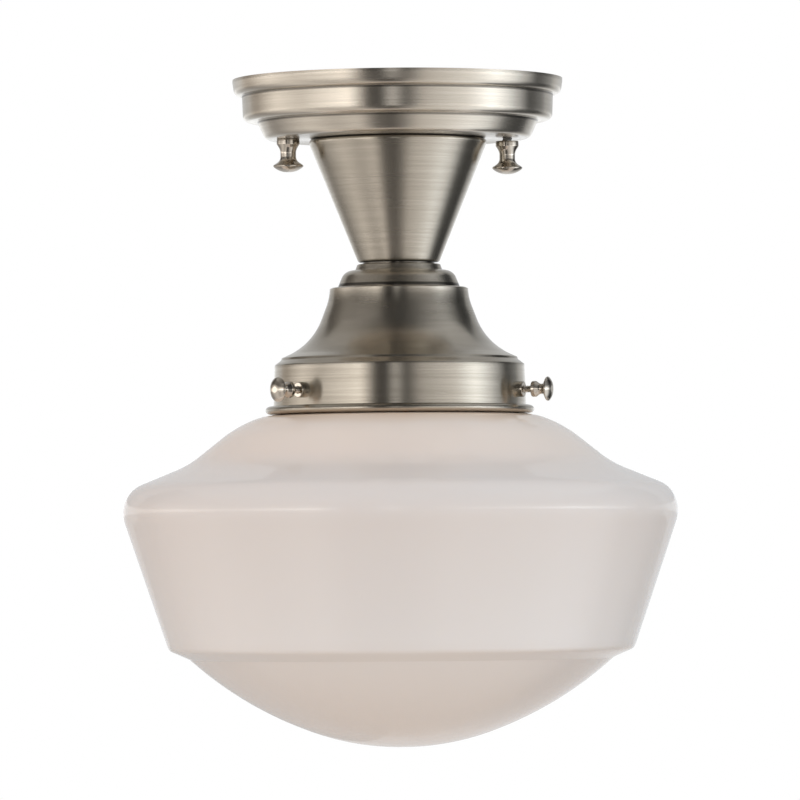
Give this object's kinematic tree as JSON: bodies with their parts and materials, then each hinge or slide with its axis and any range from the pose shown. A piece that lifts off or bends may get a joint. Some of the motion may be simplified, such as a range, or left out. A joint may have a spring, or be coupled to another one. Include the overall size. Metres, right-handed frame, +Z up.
{
  "type": "semi flush ceiling light",
  "caption": "Round ceiling light with a stepped canopy on a swivel crossbar, a cone neck, a spun fitter with thumbscrews, and a wide opal glass shade around a screw-in bulb.",
  "frame": {"origin": "on the light's axis in the ceiling plane, at the centre of the two slots for the box screws", "axes": "+Z up into the ceiling, X through the two canopy knobs, -Y towards the picture's viewer"},
  "size_m": [0.2248, 0.2248, 0.2709],
  "materials": {
    "satin_nickel": "satin brushed nickel with fine turned lines",
    "polished_nickel": "polished nickel",
    "zinc_steel": "zinc-plated steel",
    "green_screw": "green dyed steel",
    "socket_brass": "plain stamped brass",
    "porcelain": "white glazed porcelain",
    "bulb_glass": "soft white coated inside",
    "bulb_aluminium": "rolled screw cap",
    "bulb_insulator": "black vitrite",
    "bulb_solder": "solder",
    "clear_glass": "clear",
    "tungsten": "drawn wire",
    "opal_glass": "cased opal white, glossy outside",
    "black_insulation": "smooth",
    "white_insulation": "smooth",
    "green_insulation": "smooth",
    "connector_plastic": "moulded",
    "soft_tip": "clear vinyl turned milky"
  },
  "bodies": {
    "ceiling_bar": {"box_bar": "zinc_steel"},
    "fixture": {"canopy": "satin_nickel", "cone_neck": "satin_nickel", "neck_ring": "satin_nickel", "dome_cap": "satin_nickel", "fitter": "satin_nickel", "screw_bosses": "polished_nickel", "canopy_bar": "zinc_steel", "crossbar_rivet": "zinc_steel", "canopy_screws": "zinc_steel", "screw_lock_nuts": "zinc_steel", "upper_lock_washer": "zinc_steel", "upper_lock_nut": "zinc_steel", "lower_lock_washer": "zinc_steel", "lower_lock_nut": "zinc_steel", "threaded_stem": "zinc_steel", "ground_screw": "green_screw", "lampholder_cap": "socket_brass", "lampholder_body": "porcelain", "lamp_screw_shell": "socket_brass", "lamp_centre_contact": "socket_brass", "glass_shade": "opal_glass", "black_lead": "black_insulation", "white_lead": "white_insulation", "ground_lead": "green_insulation", "wire_connectors": "connector_plastic"},
    "left_knob": {"canopy_knob_left": "polished_nickel"},
    "right_knob": {"canopy_knob_right": "polished_nickel"},
    "bulb": {"bulb_envelope": "bulb_glass", "bulb_cap": "bulb_aluminium", "bulb_insulator": "bulb_insulator", "bulb_contact": "bulb_solder", "bulb_stem": "clear_glass", "bulb_filament": "tungsten"},
    "screw_tip_1": {"thumbscrew_tip_1": "soft_tip"},
    "screw_1": {"thumbscrew_1": "polished_nickel"},
    "screw_tip_2": {"thumbscrew_tip_2": "soft_tip"},
    "screw_2": {"thumbscrew_2": "polished_nickel"},
    "screw_tip_3": {"thumbscrew_tip_3": "soft_tip"},
    "screw_3": {"thumbscrew_3": "polished_nickel"}
  },
  "joints": [
    {"name": "crossbar_swivel", "type": "hinge", "parent": "ceiling_bar", "child": "fixture", "pos_m": [0, 0, 0], "axis": [0, 0, 1], "range_deg": [-60, 60]},
    {"name": "left_knob_travel", "type": "slide", "parent": "fixture", "child": "left_knob", "axis": [0, 0, -1], "range_m": [0, 0.012]},
    {"name": "right_knob_travel", "type": "slide", "parent": "fixture", "child": "right_knob", "axis": [0, 0, -1], "range_m": [-0.001, 0.011]},
    {"name": "bulb_unscrew", "type": "slide", "parent": "fixture", "child": "bulb", "axis": [0, 0, -1], "range_m": [0, 0.027]},
    {"name": "thumbscrew_1_travel", "type": "slide", "parent": "fixture", "child": "screw_tip_1", "axis": [-0.8192, -0.5736, 0], "range_m": [0, 0.00445]},
    {"name": "thumbscrew_1_turn", "type": "hinge", "parent": "screw_tip_1", "child": "screw_1", "pos_m": [0, 0, -0.126], "axis": [-0.8192, -0.5736, 0], "range_deg": [0, 2520]},
    {"name": "thumbscrew_2_travel", "type": "slide", "parent": "fixture", "child": "screw_tip_2", "axis": [0.9063, -0.4226, 0], "range_m": [0, 0.00445]},
    {"name": "thumbscrew_2_turn", "type": "hinge", "parent": "screw_tip_2", "child": "screw_2", "pos_m": [0, 0, -0.126], "axis": [0.9063, -0.4226, 0], "range_deg": [0, 2520]},
    {"name": "thumbscrew_3_travel", "type": "slide", "parent": "fixture", "child": "screw_tip_3", "axis": [-0.0872, 0.9962, 0], "range_m": [0, 0.00445]},
    {"name": "thumbscrew_3_turn", "type": "hinge", "parent": "screw_tip_3", "child": "screw_3", "pos_m": [0, 0, -0.126], "axis": [-0.0872, 0.9962, 0], "range_deg": [0, 2520]}
  ],
  "couplings": [
    {"joint": "thumbscrew_1_turn", "follows": "thumbscrew_1_travel", "rad_per_m": 9894.8},
    {"joint": "thumbscrew_2_turn", "follows": "thumbscrew_2_travel", "rad_per_m": 9894.8},
    {"joint": "thumbscrew_3_turn", "follows": "thumbscrew_3_travel", "rad_per_m": 9894.8}
  ]
}
